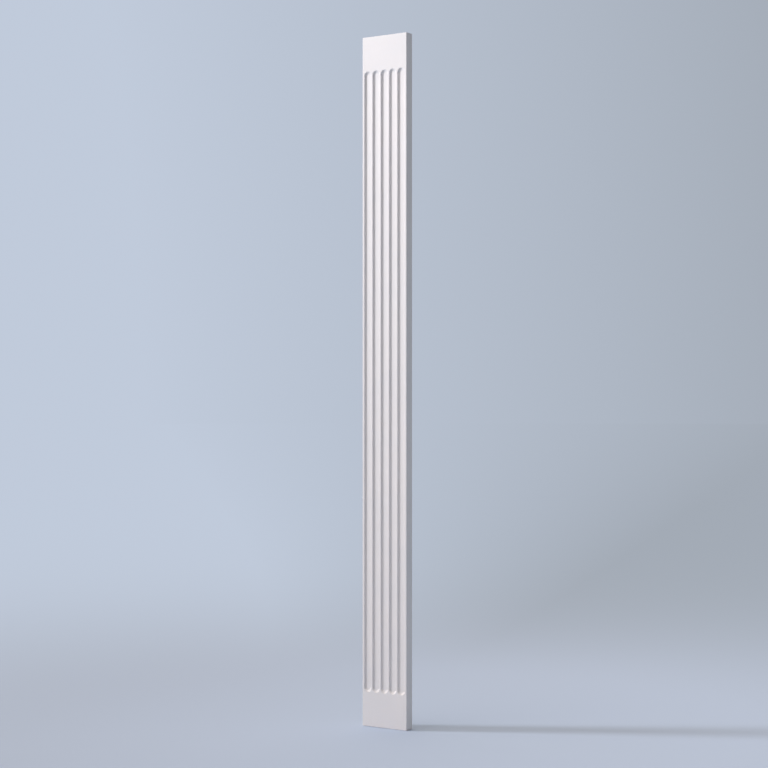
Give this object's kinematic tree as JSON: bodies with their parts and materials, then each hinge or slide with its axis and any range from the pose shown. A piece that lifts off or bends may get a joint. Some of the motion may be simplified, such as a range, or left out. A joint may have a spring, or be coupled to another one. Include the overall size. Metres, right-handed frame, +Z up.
{
  "type": "fluted pilaster",
  "caption": "Tall flat pilaster strip with round-ended flutes, plain ends and a flat back, moulded in one piece to be fixed to a wall.",
  "frame": {"origin": "middle of the flat back, where the strip is glued to the wall", "axes": "+Z up along the strip, +Y into the wall (the fluted front faces -Y), +X to the right seen from the front"},
  "size_m": [0.152, 0.03, 2],
  "materials": {
    "primed_foam": "smooth white primer on moulded rigid polyurethane foam, satin to matt"
  },
  "bodies": {
    "root": {"fluted_shaft": "primed_foam"}
  },
  "joints": []
}
